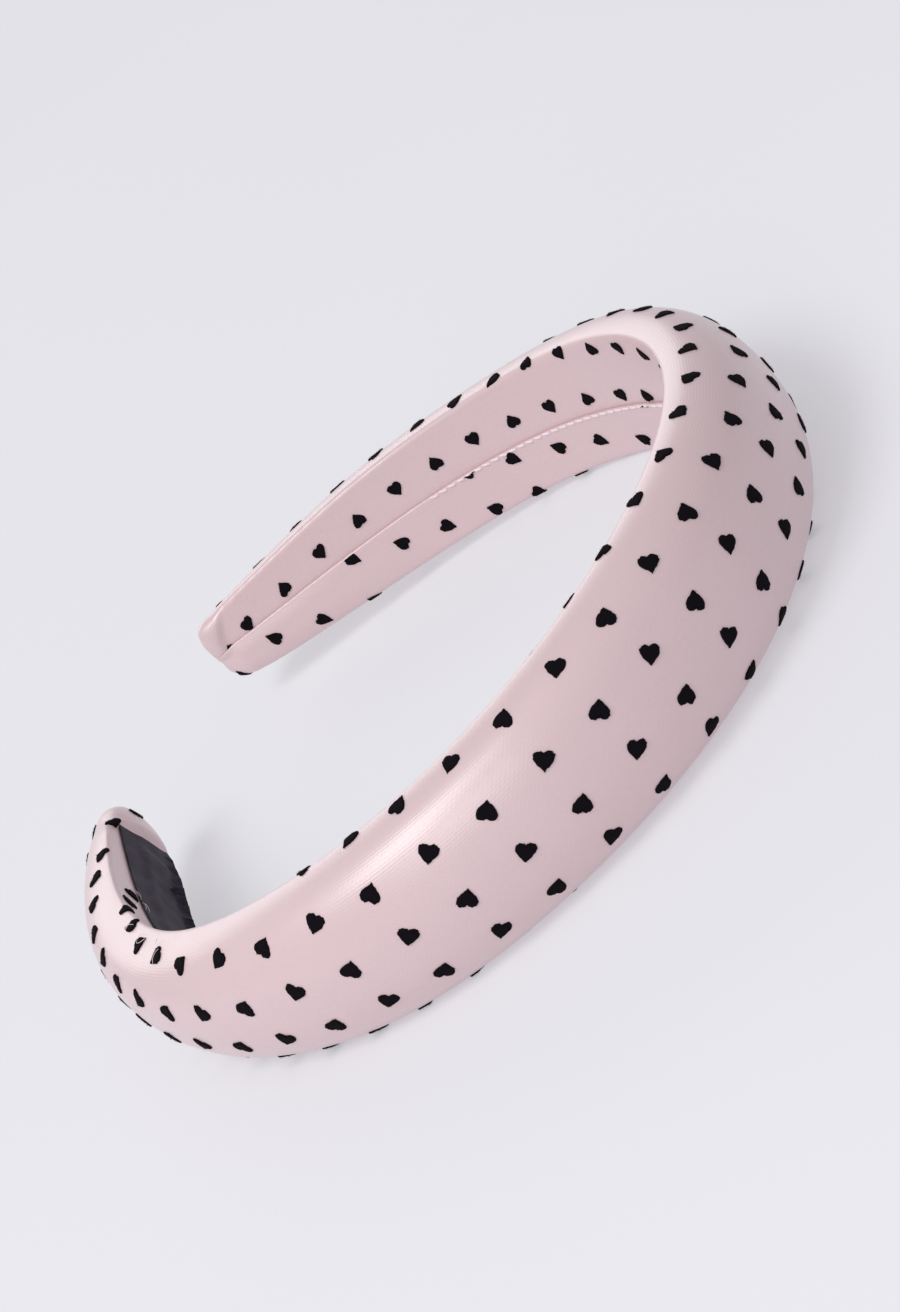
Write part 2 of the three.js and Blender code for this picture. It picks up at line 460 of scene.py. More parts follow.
@dataclass(frozen=True)
class BandShape:
    """The band's own form, in millimetres: the same sizes as its solids.

    A place on it is a distance along from the crown, positive on the far arm, a height across the band and a
    distance out from the inside line.
    """

    half_length: float = 190.0
    shoulder_power: float = 2.2
    dome_power: float = 2.7
    front_rest_share: float = 0.0
    back_rest_share: float = 0.44
    rest_flattening: float = 0.5
    line_steps: int = 760
    box_rings: int = 400
    box_around: int = 91
    far_end: ArmEnd = ArmEnd(
        start=182.0,
        end=190.0,
        round_length=4.0,
        end_power=3.0,
        lip=185.4,
        lip_lean=4.5,
        lip_round=2.4,
        bulge=1.05,
        softness=0.5,
        above_seam=True,
        lift=1.2,
        lift_length=9.0,
    )
    near_end: ArmEnd = ArmEnd(
        start=172.0,
        end=184.2,
        round_length=12.0,
        end_power=2.0,
        lip=172.0,
        lip_lean=6.0,
        lip_round=3.0,
        bulge=1.7,
        softness=1.9,
    )
    stations: tuple[Station, ...] = (
        Station(0.0, 57.5, 57.5, 15.3, 15.6, 12.2, -6.0),
        Station(0.2, 62, 65, 14.5, 15.3, 11.6, -5.8),
        Station(0.4, 61, 61, 13.3, 14.9, 11.8, -5.0),
        Station(0.6, 72, 64, 11.0, 12.3, 11.7, -2.8),
        Station(0.8, 195, 195, 10.5, 9.7, 11.0, -0.8),
        Station(1.0, -265, -265, 8.0, 5.7, 5.5, 0.5),
    )

    def _smooth(self, values: list[float], share: np.ndarray) -> np.ndarray:
        """Station values at any shares, on a smooth curve through the rows.

        Args:
            values: one value per station.
            share: shares of the half length.

        Returns:
            A value for each share.
        """
        row = bent_row(values)
        scaled = np.clip(share, 0, 1) * (len(values) - 1)
        index = np.minimum(scaled.astype(int), len(values) - 2)
        t = scaled - index
        before, start, end, after = (row[index + step] for step in range(4))
        start_slope = (end - before) / 2
        end_slope = (after - start) / 2
        return start + (end - start) * eased(t) + start_slope * t * (1 - t) ** 2 - end_slope * t * t * (1 - t)

    def size(self, name: str, along: np.ndarray) -> np.ndarray:
        """One of the stations' sizes, by its name, at places along the band."""
        values = [getattr(station, name) for station in self.stations]
        return self._smooth(values, np.abs(along) / self.half_length)

    def _trace(self, bends: list[float]) -> tuple[np.ndarray, np.ndarray, np.ndarray]:
        """The inside line of one arm at equal steps.

        Args:
            bends: its bend radius at each station.

        Returns:
            x, y and the turn angle.
        """
        step = self.half_length / self.line_steps
        middles = (np.arange(self.line_steps) + 0.5) / self.line_steps
        bend = self._smooth([1 / radius for radius in bends], middles) * step
        turn = np.concatenate([[0.0], np.cumsum(bend)])
        middle_turn = turn[:-1] + bend / 2
        x = np.concatenate([[0.0], np.cumsum(np.cos(middle_turn) * step)])
        y = np.concatenate([[0.0], np.cumsum(np.sin(middle_turn) * step)])
        return x, y, turn

    @cached_property
    def _lines(self) -> dict[Arm, tuple[np.ndarray, np.ndarray, np.ndarray]]:
        """The inside line of each arm."""
        return {
            Arm.FAR: self._trace([station.far_bend for station in self.stations]),
            Arm.NEAR: self._trace([station.near_bend for station in self.stations]),
        }

    def inside_line(self, along: np.ndarray) -> tuple[np.ndarray, np.ndarray, np.ndarray]:
        """The inside line.

        Args:
            along: signed distances from the crown.

        Returns:
            x, y and the turn angle at each place, with x and the turn signed by the arm.
        """
        step = np.abs(along) / self.half_length * self.line_steps
        steps = np.arange(self.line_steps + 1)
        far = np.asarray(along) >= 0
        x, y, turn = (
            np.where(far, np.interp(step, steps, far_row), np.interp(step, steps, near_row))
            for far_row, near_row in zip(self._lines[Arm.FAR], self._lines[Arm.NEAR])
        )
        arm = np.where(far, 1.0, -1.0)
        return arm * x, y, arm * turn

    @cached_property
    def _rest_plane(self) -> tuple[float, float]:
        """The plane that the band lies on: its slope along y and its height at y = 0."""
        places = np.array([self.front_rest_share, self.back_rest_share]) * self.half_length
        depths = self.size("lower", places)
        _, y, _ = self.inside_line(places)
        slope = (depths[0] - depths[1]) / (y[1] - y[0])
        return slope, -depths[0] - slope * y[0] + self.rest_flattening

    def _lying(self, along: np.ndarray, height: np.ndarray, out: np.ndarray) -> np.ndarray:
        """Points of the band with the plane below it level.

        Args:
            along: distances from the crown.
            height: heights across the band.
            out: distances out from the inside line.

        Returns:
            The points in millimetres, not yet over the middle of the footprint.
        """
        line_x, line_y, turn = self.inside_line(along)
        slope, low = self._rest_plane
        y = line_y - np.cos(turn) * out
        z = np.maximum(height, low + slope * y)
        tilt = math.atan(slope)
        level_y = y * math.cos(tilt) + z * math.sin(tilt)
        level_z = (z - low) * math.cos(tilt) - y * math.sin(tilt)
        return np.stack([line_x + np.sin(turn) * out, level_y, level_z], axis=-1)

    @cached_property
    def _shift(self) -> np.ndarray:
        """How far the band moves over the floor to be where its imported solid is, in millimetres."""
        along, angle = np.meshgrid(
            np.linspace(-self.near_end.start, self.far_end.start, self.box_rings),
            np.linspace(0, math.pi, self.box_around),
        )
        own = self._lying(along, *self.dome(along, angle)).reshape(-1, 3)
        low, high = (np.array(corner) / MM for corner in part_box("padded_band"))
        shift = (low + high - own.min(axis=0) - own.max(axis=0)) / 2
        return shift * (1.0, 1.0, 0.0)

    def place(self, along: np.ndarray, height: np.ndarray, out: np.ndarray) -> np.ndarray:
        """Points in the row frame.

        Args:
            along: distances from the crown.
            height: heights across the band.
            out: distances out from the inside line.

        Returns:
            The points, in metres.
        """
        return (self._lying(along, height, out) + self._shift) * MM

    def dome(self, along: np.ndarray, angle: np.ndarray) -> tuple[np.ndarray, np.ndarray]:
        """The padded outside.

        Args:
            along: distances from the crown.
            angle: 0 at the upper corner of the inside face, pi at the lower one.

        Returns:
            Heights and distances out.
        """
        lift_start = self.far_end.end - self.far_end.lift_length
        lift = self.far_end.lift * eased((along - lift_start) / self.far_end.lift_length)
        across = np.cos(angle)
        edge = np.where(across > 0, self.size("upper", along), self.size("lower", along) - lift)
        height = edge * np.sign(across) * np.abs(across) ** (2 / self.shoulder_power)
        return height, self.size("thickness", along) * np.abs(np.sin(angle)) ** (2 / self.dome_power)


SHAPE = BandShape()


@dataclass
class Cover:
    """The satin cover as a grid: rings along the band, and equal steps of cloth round each ring.

    A place on the cloth is a distance along from the crown and a distance across from the top of the dome,
    positive towards the lower edge, in millimetres. A ring starts half way up the inside face and goes up.
    """

    body_rings: int = 380
    tip_rings: int = 48
    round_rings: int = 30
    around: int = 180
    tip_zone: float = 158.0
    corner_softness: float = 0.75
    least_scale: float = 0.03
    bulge_depth: float = 3.0
    bulge_fullness: float = 0.6
    softening_length: float = 10.0
    dome_steps: int = 721
    face_steps: int = 61

    def __post_init__(self) -> None:
        """Works the grid out once."""
        near, near_scale = self._rounding(SHAPE.near_end)
        far, far_scale = self._rounding(SHAPE.far_end)
        near_part = np.linspace(-near[0], -self.tip_zone, self.tip_rings)[1:-1]
        middle_part = np.linspace(-self.tip_zone, self.tip_zone, self.body_rings)
        far_part = np.linspace(self.tip_zone, far[0], self.tip_rings)[1:-1]
        body = np.concatenate([near_part, middle_part, far_part])
        self.along = np.concatenate([-near[::-1], body, far])
        self.scale = np.concatenate([near_scale[::-1], np.ones(body.size), far_scale])
        rings = [self._ring(along, scale) for along, scale in zip(self.along, self.scale)]
        self.heights, self.outs, self.girth, self.top = (np.array(part) for part in zip(*rings))
        self.lower_face = SHAPE.size("lower", self.along) * self.scale

    def _rounding(self, end: ArmEnd) -> tuple[np.ndarray, np.ndarray]:
        """The rings of an arm's rounded end.

        Args:
            end: the end of that arm.

        Returns:
            Their distances from the crown, and how far each is drawn in.
        """
        turn = np.linspace(0, math.pi / 2, self.round_rings)
        power = 2 / end.end_power
        distance = end.end - end.round_length * (1 - np.sin(turn) ** power)
        return distance, np.maximum(np.cos(turn), self.least_scale) ** power

    def _ring(self, along: float, scale: float) -> tuple[np.ndarray, np.ndarray, float, float]:
        """One section of the band, with soft corners.

        Args:
            along: its distance from the crown.
            scale: how far it is drawn in towards its middle.

        Returns:
            Heights, distances out, the length of the ring and its length up to the top of the dome.
        """
        end = SHAPE.far_end if along > 0 else SHAPE.near_end
        nearness = eased((abs(along) - end.lip) / self.softening_length + 1)
        softness = self.corner_softness + end.softness * nearness
        angle = np.linspace(0, math.pi, self.dome_steps)
        face = np.linspace(0, 1, self.face_steps)
        dome_height, dome_out = SHAPE.dome(np.full(angle.size, along), angle)
        height = np.concatenate([dome_height[0] * face[:-1], dome_height, dome_height[-1] * (1 - face[1:])])
        out = np.concatenate([np.zeros(face.size - 1), dome_out, np.zeros(face.size - 1)])
        length = np.concatenate([[0.0], np.cumsum(np.hypot(np.diff(height), np.diff(out)))])
        top = length[face.size - 1 + angle.size // 2]
        steps = np.arange(self.around) / self.around * length[-1]
        ring = np.stack([np.interp(steps, length, height), np.interp(steps, length, out)])
        waves = np.fft.rfft(ring, axis=1)
        order = np.arange(waves.shape[1])
        waves *= np.exp(-0.5 * (2 * math.pi * order * softness / length[-1]) ** 2)
        soft_height, soft_out = np.fft.irfft(waves, n=self.around, axis=1)
        middle = dome_out.max() / 2
        full_out = soft_out - self._bulge(end, along, soft_height, soft_out)
        return soft_height * scale, middle + (full_out - middle) * scale, length[-1] * scale, top * scale

    def _bulge(self, end: ArmEnd, along: float, height: np.ndarray, out: np.ndarray) -> np.ndarray:
        """How far the cloth tucked into a tip pushes the inside face in.

        Args:
            end: the end of that arm.
            along: the section's distance from the crown.
            height: heights of the section's points.
            out: their distances out.

        Returns:
            A distance for each point, none before the lip.
        """
        low = SHAPE.size("seam", np.float64(along)) if end.above_seam else height.min()
        share = np.clip((height - low) / (height.max() - low), 0, 1)
        rise = eased((abs(along) - end.lip + end.lip_lean * share**2) / end.lip_round)
        swell = (4 * share * (1 - share)) ** self.bulge_fullness
        return end.bulge * rise * swell * eased(1 - out / self.bulge_depth)

    def at(self, name: str, along: np.ndarray) -> np.ndarray:
        """One of the rings' measures, by its name, at places along the band."""
        return np.interp(along, self.along, getattr(self, name))

    def between(self, start: float, end: float) -> np.ndarray:
        """Places of the rings from one distance along to another, both of these among them."""
        inner = self.along[(self.along > start) & (self.along < end)]
        return np.concatenate([[start], inner, [end]])

    def section(self, along: np.ndarray, across: np.ndarray) -> tuple[np.ndarray, np.ndarray]:
        """Height and distance out of places on the cloth.

        Args:
            along: distances from the crown.
            across: distances across the cloth from the top of the dome.

        Returns:
            Heights and distances out.
        """
        row = np.interp(along, self.along, np.arange(self.along.size))
        low_row = np.minimum(row.astype(int), self.along.size - 2)
        row_part = row - low_row
        column = (across + self.at("top", along)) / self.at("girth", along) * self.around
        low_column = np.floor(column).astype(int)
        column_part = column - low_column
        results = []
        for grid in (self.heights, self.outs):
            sides = []
            for step in (0, 1):
                first = grid[low_row + step, low_column % self.around]
                second = grid[low_row + step, (low_column + 1) % self.around]
                sides.append(first + (second - first) * column_part)
            results.append(sides[0] + (sides[1] - sides[0]) * row_part)
        return results[0], results[1]

    def points(self, along: np.ndarray, across: np.ndarray) -> np.ndarray:
        """Points of the cloth in the row frame, in metres."""
        height, out = self.section(along, across)
        return SHAPE.place(along, height, out)

    def normals(self, along: np.ndarray, across: np.ndarray, step: float = 0.25) -> np.ndarray:
        """Directions straight off the cloth.

        Args:
            along: distances from the crown.
            across: distances across the cloth.
            step: how far apart the neighbouring places are that give the slope.

        Returns:
            Unit vectors in the row frame.
        """
        middle = np.clip(along, self.along[0] + step, self.along[-1] - step)
        ahead = self.points(middle + step, across) - self.points(middle - step, across)
        aside = self.points(middle, across + step) - self.points(middle, across - step)
        normal = np.cross(aside, ahead)
        return normal / np.linalg.norm(normal, axis=-1, keepdims=True)

    def raised(self, along: np.ndarray, across: np.ndarray, lift: np.ndarray) -> np.ndarray:
        """Points off the cloth, none of them below the floor.

        Args:
            along: distances from the crown.
            across: distances across the cloth.
            lift: heights off the cloth, in millimetres.

        Returns:
            The points, in metres.
        """
        points = self.points(along, across) + self.normals(along, across) * lift[..., None] * MM
        points[..., 2] = np.maximum(points[..., 2], 0.0)
        return points

    def lower_corner(self, along: np.ndarray) -> np.ndarray:
        """The lower corner of the inside face as a distance across the cloth, at places along the band."""
        return self.at("girth", along) - self.at("top", along) - self.at("lower_face", along)

    def on_upper_face(self, along: np.ndarray, height: np.ndarray) -> np.ndarray:
        """Heights on the inside face as distances across the cloth, counted round from the upper corner."""
        return height - self.at("top", along)

    def on_lower_face(self, along: np.ndarray, height: np.ndarray) -> np.ndarray:
        """Heights on the inside face as distances across the cloth, counted round from the lower corner."""
        return height + self.at("girth", along) - self.at("top", along)


COVER = Cover()


def make_piece(
    name: str,
    points: np.ndarray,
    faces: np.ndarray | list[list[int]],
    material: bpy.types.Material,
    cloth: np.ndarray | None = None,
) -> bpy.types.Object:
    """A smooth mesh that rides on the band.

    Args:
        name: the piece's name.
        points: its points in metres.
        faces: the point numbers of each face.
        material: its finish.
        cloth: millimetres along and across the cloth, for each corner of each face in turn.

    Returns:
        The new object.
    """
    mesh = bpy.data.meshes.new(name)
    face_list = faces.tolist() if isinstance(faces, np.ndarray) else faces
    mesh.from_pydata(points.reshape(-1, 3).tolist(), [], face_list)
    mesh.shade_smooth()
    mesh.set_sharp_from_angle(angle=SHARP_ANGLE)
    if cloth is not None:
        layer = mesh.uv_layers.new(name=CLOTH_MAP)
        layer.data.foreach_set("uv", cloth.astype(np.float32).ravel())
    mesh.materials.append(material)
    mesh.update()
    piece = bpy.data.objects.new(name, mesh)
    bpy.context.scene.collection.objects.link(piece)
    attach(piece, BODY)
    LOG.info("%s: %d points, %d faces", name, len(mesh.vertices), len(mesh.polygons))
    return piece


def ring_faces(rings: int, around: int) -> np.ndarray:
    """Four-sided faces between closed rings of points.

    Args:
        rings: how many rings, one after the other.
        around: how many points each ring has.

    Returns:
        Four point numbers for each face.
    """
    ring, step = np.meshgrid(np.arange(rings - 1), np.arange(around), indexing="ij")
    first = ring * around + step
    second = ring * around + (step + 1) % around
    return np.stack([first, first + around, second + around, second], axis=-1).reshape(-1, 4)


def closed_faces(rings: int, around: int) -> list[list[int]]:
    """Faces between closed rings of points, with a face over the first ring and one over the last.

    Args:
        rings: how many rings, one after the other.
        around: how many points each ring has.

    Returns:
        The point numbers of each face.
    """
    last = (rings - 1) * around
    ends = [list(range(around)), [last + step for step in reversed(range(around))]]
    return ring_faces(rings, around).tolist() + ends


def repeated_faces(one: list[list[int]], points_each: int, count: int, first: int = 0) -> list[list[int]]:
    """The faces of many like shells.

    Args:
        one: the faces of one shell.
        points_each: how many points a shell has.
        count: how many shells there are.
        first: the number of the first shell's first point.

    Returns:
        The point numbers of each face.
    """
    starts = range(first, first + count * points_each, points_each)
    return [[number + start for number in face] for start in starts for face in one]


def cloth_corners(flat: np.ndarray, faces: list[list[int]]) -> np.ndarray:
    """Cloth coordinates for each corner of each face in turn, from those of the points."""
    return np.concatenate([flat[face] for face in faces])


def make_tube(name: str, along: np.ndarray, satin: bpy.types.Material) -> bpy.types.Object:
    """A closed length of the satin cover.

    Args:
        name: the piece's name.
        along: the places of its rings.
        satin: its finish.

    Returns:
        The new object.
    """
    around = COVER.around
    share = np.arange(around + 1) / around
    full_along = along[:, None] + 0 * share
    across = share * COVER.at("girth", full_along) - COVER.at("top", full_along)
    points = COVER.points(full_along[:, :-1], across[:, :-1])
    flat = np.stack([full_along, across], axis=-1)
    ring, step = np.meshgrid(np.arange(along.size - 1), np.arange(around), indexing="ij")
    corners = [flat[ring, step], flat[ring + 1, step], flat[ring + 1, step + 1], flat[ring, step + 1]]
    side_cloth = np.stack(corners, axis=2).reshape(-1, 2)
    cloth = np.concatenate([side_cloth, flat[0, :-1], flat[-1, -2::-1]])
    return make_piece(name, points, closed_faces(along.size, around), satin, cloth)


@dataclass
class PaddedBand:
    """The padded satin band, from the fold of one tip to the fold of the other."""

    fill: float = 0.9

    def build(self, satin: bpy.types.Material) -> bpy.types.Object:
        """The band's cover as one closed mesh.

        Args:
            satin: its finish.

        Returns:
            The band.
        """
        along = COVER.between(-SHAPE.near_end.start, SHAPE.far_end.start)
        band = make_tube("satin_band", along, satin)
        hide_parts("padded_band")
        return band


@dataclass
class InsideFlap:
    """The cloth edge that is turned in over the inside face and stitched along its fold."""

    thickness: float = 0.65
    edge_thickness: float = 0.12
    lap: float = 1.0
    near_end: float = -169.0
    far_end: float = 189.4
    end_gap: float = 0.01
    end_taper: float = 4.0
    least_taper: float = 0.2
    puff: float = 0.9
    puff_start: float = 135.0
    puff_length: float = 40.0
    tuck: float = 0.6
    under: float = -0.2
    columns: int = 26
    fold_columns: int = 7
    cut_width: float = 0.0125
    cut_length: float = 0.358
    cut_area: float = 0.0038

    def fold_height(self, along: np.ndarray) -> np.ndarray:
        """Height of the folded edge at places along the band."""
        return (SHAPE.size("seam", along) + self.lap) * COVER.at("scale", along)

    def fold_across(self, along: np.ndarray) -> np.ndarray:
        """The folded edge as a distance across the cloth, at places along the band."""
        return COVER.on_lower_face(along, self.fold_height(along))

    def taper(self, along: np.ndarray) -> np.ndarray:
        """How much of its thickness the flap keeps as it runs out at the ends of the arms."""
        from_end = np.minimum(self.far_end - along, along - self.near_end)
        return np.clip(from_end / self.end_taper, self.least_taper, 1)

    def proud(self, along: np.ndarray, across: np.ndarray) -> np.ndarray:
        """How far the flap stands off the cover below it.

        Args:
            along: distances from the crown.
            across: distances across the cloth.

        Returns:
            Distances, none on the outside and growing from the lower edge to the fold.
        """
        corner = COVER.lower_corner(along)
        share = np.clip((across - corner) / (self.fold_across(along) - corner), 0, 1)
        onto_face = np.clip((across - corner + self.tuck) / self.tuck, 0, 1)
        rise = (self.thickness - self.edge_thickness) * np.sqrt(share)
        puff = self.puff * 4 * share * (1 - share) * eased((along - self.puff_start) / self.puff_length)
        here = (along > self.near_end) & (along < self.far_end)
        return (onto_face * self.edge_thickness + rise + puff) * self.taper(along) * here

    def build(self, satin: bpy.types.Material) -> bpy.types.Object:
        """The flap as a closed strip.

        Args:
            satin: its finish.

        Returns:
            The flap.
        """
        along = COVER.between(self.near_end + self.end_gap, self.far_end - self.end_gap)[:, None]
        fold = self.fold_across(along)
        start = COVER.lower_corner(along) - self.tuck
        share = np.linspace(0, 1, self.columns)[None, :]
        face = start + (fold - start) * share
        turn = np.linspace(0, math.pi, self.fold_columns + 2)[None, 1:-1]
        radius = self.thickness / 2 * self.taper(along)
        bent = fold + radius * np.sin(turn)
        across = np.concatenate([face, bent, face[:, ::-1]], axis=1)
        under_lift = np.full(face.shape, self.under)
        lift = np.concatenate([self.proud(along, face), radius * (1 + np.cos(turn)), under_lift], axis=1)
        full_along = np.broadcast_to(along, across.shape)
        faces = closed_faces(*across.shape)
        flat = np.stack([full_along, across], axis=-1).reshape(-1, 2)
        points = COVER.raised(full_along, across, lift)
        flap = make_piece("satin_flap", points, faces, satin, cloth_corners(flat, faces))
        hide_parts("inside_flap")
        return flap


FLAP = InsideFlap()


@dataclass
class SeamStitches:
    """A row of short slanting stitches along the fold of the flap."""

    pitch: float = 2.0
    length: float = 1.72
    radius: float = 0.27
    slant: float = 0.16
    past_fold: float = 0.05
    end_taper: float = 0.97
    end_sink: float = 0.35
    bed: float = 0.1
    far_end: float = 140.0
    near_end: float = -166.0
    rings: int = 9
    around: int = 8

    def build(self, thread: bpy.types.Material) -> bpy.types.Object:
        """All stitches as one mesh.

        Args:
            thread: their finish.

        Returns:
            The stitches.
        """
        middles = np.arange(self.near_end, self.far_end, self.pitch)[:, None, None]
        share = np.linspace(-1, 1, self.rings)[None, :, None]
        angle = np.linspace(0, 2 * math.pi, self.around, endpoint=False)[None, None, :]
        along = middles + share * self.length / 2 + 0 * angle
        swell = np.sqrt(1 - self.end_taper * share**4)
        middle_across = FLAP.fold_across(along) + self.past_fold + self.slant * share
        across = middle_across - self.radius * swell * np.cos(angle)
        sink = self.end_sink * self.radius * np.abs(share) ** 3
        lift = FLAP.proud(along, middle_across) + self.radius * (self.bed + swell * np.sin(angle)) - sink
        points = COVER.raised(along, across, lift)
        one = closed_faces(self.rings, self.around)
        faces = repeated_faces(one, self.rings * self.around, middles.size)
        return make_piece("seam_stitches", points, faces, thread)


@dataclass
class TipFold:
    """The tucked cloth end of one arm, which goes on from the band."""

    name: str
    node: str
    arm: Arm
    end: ArmEnd
    fill: float = 0.7

    def build(self, satin: bpy.types.Material) -> bpy.types.Object:
        """The fold as one closed mesh.

        Args:
            satin: its finish.

        Returns:
            The fold.
        """
        stops = sorted([self.arm.value * self.end.start, self.arm.value * self.end.end])
        fold = make_tube(self.name, COVER.between(*stops), satin)
        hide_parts(self.node)
        return fold


@dataclass
class RibbonPatch:
    """The plain ribbon patch inside the near arm.

    It is clean above and frayed below, and its end is under the lip of the tip. The fray comes from coarse
    and fine draws for each ring, the coarse ones averaged over a window.
    """

    far_end: float = -121.5
    tucked: float = 2.2
    face_shares: tuple[float, float] = (0.14, 0.89)
    width: float = 12.8
    thickness: float = 0.3
    edge_inset: float = 2.2
    fray: float = 0.9
    coarse_spread: float = 2.2
    coarse_window: int = 15
    coarse_spare: int = 16
    fine_spread: float = 0.35
    curl: float = 0.6
    curl_share: float = 0.16
    rest_gap: float = 0.12
    crown: float = 0.2
    end_rise: float = 4.0
    rings: int = 220
    columns: int = 48
    climb_width: float = 2.5
    cut_length: float = 0.0526
    seed: int = 11

    def build(self, ribbon: bpy.types.Material) -> bpy.types.Object:
        """The patch as a thin closed sheet.

        Args:
            ribbon: its finish.

        Returns:
            The patch.
        """
        draw = np.random.default_rng(self.seed)
        share = np.linspace(0, 1, self.columns)[None, :]
        face_share = self.face_shares[0] + (self.face_shares[1] - self.face_shares[0]) * share
        tip = SHAPE.near_end
        tuck_end = -(tip.lip - tip.lip_lean * face_share**2 + self.tucked)
        along = tuck_end + (self.far_end - tuck_end) * np.linspace(0, 1, self.rings)[:, None]
        window = np.ones(self.coarse_window) / self.coarse_window
        coarse_draws = draw.normal(0, self.coarse_spread, self.rings + self.coarse_spare)
        coarse = np.convolve(coarse_draws, window, mode="valid")
        fine = draw.normal(0, self.fine_spread, self.rings)
        ragged = (coarse[: self.rings] + fine)[:, None]
        edge = -SHAPE.size("lower", along) + self.edge_inset
        lower = edge + self.fray * ragged
        upper = edge + self.width
        height = lower + (upper - lower) * share
        flap_top = FLAP.fold_height(along) + FLAP.thickness / 2
        climb = eased((flap_top + self.climb_width - height) / self.climb_width)
        curl = np.maximum(self.curl * np.clip(1 - share / self.curl_share, 0, 1) * (1 + ragged), 0)
        swell = self.crown * 4 * share * (1 - share)
        rise = eased((along - tuck_end) / self.end_rise)
        under = self.rest_gap + climb * FLAP.thickness * FLAP.taper(along) + (curl + swell) * rise
        full_height = np.concatenate([height, height[:, ::-1]], axis=1)
        out = np.concatenate([-under - self.thickness, -under[:, ::-1]], axis=1)
        full_along = np.concatenate([along, along[:, ::-1]], axis=1)
        points = SHAPE.place(full_along, full_height, out)
        faces = [face[::-1] for face in closed_faces(*full_height.shape)]
        flat = np.stack([full_along, full_height], axis=-1).reshape(-1, 2)
        patch = make_piece("ribbon_patch", points, faces, ribbon, cloth_corners(flat, faces))
        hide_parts("inside_label")
        return patch


@dataclass
class LooseThreads:
    """Fine pale threads that have come loose beside the ribbon patch.

    Each place is a distance along, a distance across the cloth and a height off it, in millimetres.
    """

    radius: float = 0.04
    length: float = 2.4
    arch: float = 0.3
    curl: float = 0.5
    lopsided: float = 0.5
    scatter: float = 0.6
    per_place: int = 2
    rings: int = 14
    around: int = 6
    seed: int = 23
    places: tuple[Triple, ...] = (
        (-105.5, -13.8, 0.4),
        (-114.0, -15.2, 0.4),
        (-121.8, -17.0, 0.4),
        (-143.0, -23.4, 0.5),
        (-139.0, -24.4, 0.6),
    )

    def build(self, thread: bpy.types.Material) -> bpy.types.Object:
        """All loose threads as one mesh.

        Args:
            thread: their finish.

        Returns:
            The threads.
        """
        draw = np.random.default_rng(self.seed)
        middles = np.repeat(np.array(self.places), self.per_place, axis=0)
        count = len(middles)
        middles[:, :2] += draw.normal(0, self.scatter, (count, 2))
        heading = draw.uniform(0, math.pi, count)[:, None, None]
        curl = draw.normal(0, self.curl, count)[:, None, None]
        share = np.linspace(-1, 1, self.rings)[None, :, None]
        angle = np.linspace(0, 2 * math.pi, self.around, endpoint=False)[None, None, :]
        forward = self.length / 2 * share
        sideways = curl * (share**2 + self.lopsided * share**3) + self.radius * np.cos(angle)
        along = middles[:, 0, None, None] + forward * np.cos(heading) - sideways * np.sin(heading)
        across = middles[:, 1, None, None] + forward * np.sin(heading) + sideways * np.cos(heading)
        lift = middles[:, 2, None, None] + self.arch * (1 - share**2) + self.radius * np.sin(angle)
        points = COVER.raised(along, across, lift)
        faces = repeated_faces(closed_faces(self.rings, self.around), self.rings * self.around, count)
        return make_piece("loose_threads", points, faces, thread)


class RowMeasure(Enum):
    """What a row of hearts is measured from."""

    DOME_TOP = "across the cloth from the top of the dome"
    UPPER_FACE = "height on the open half of the inside face"
    FLAP_FACE = "height on the flap"


class RowKind(Enum):
    """Where a row of hearts runs: what it is measured from, its hearts' lean in degrees and their scale."""

    OUTSIDE = (RowMeasure.DOME_TOP, -45.0, 1.0)
    TURNED = (RowMeasure.DOME_TOP, -90.0, 0.88)
    FLAP = (RowMeasure.FLAP_FACE, -135.0, 0.85)
    FACE = (RowMeasure.UPPER_FACE, -90.0, 0.85)


@dataclass(frozen=True)
class HeartRow:
    """A stretch of a row of hearts, in millimetres.

    Its hearts are numbered from 0. Each is first + pitch * n + growth * n * n along the band, and its measure
    there is start + drift * along + bend * along * along.
    """

    kind: RowKind
    count: int
    along: Triple
    across: Triple
    first_up: bool

    def places(self) -> tuple[np.ndarray, np.ndarray, np.ndarray, np.ndarray]:
        """The row's hearts.

        Returns:
            Distances along, distances across the cloth from the top of the dome, signed sizes, below 0 for
            the hearts that are upside down, and leans in radians.
        """
        measured_from, lean_deg, scale = self.kind.value
        number = np.arange(self.count)
        first, pitch, growth = self.along
        along = first + pitch * number + growth * number**2
        start, drift, bend = self.across
        measure = start + drift * along + bend * along**2
        across = {
            RowMeasure.DOME_TOP: measure,
            RowMeasure.UPPER_FACE: COVER.on_upper_face(along, measure),
            RowMeasure.FLAP_FACE: COVER.on_lower_face(along, measure),
        }[measured_from]
        size = np.where((number % 2 == 0) == self.first_up, scale, -scale)
        return along, across, size, np.full(self.count, math.radians(lean_deg))


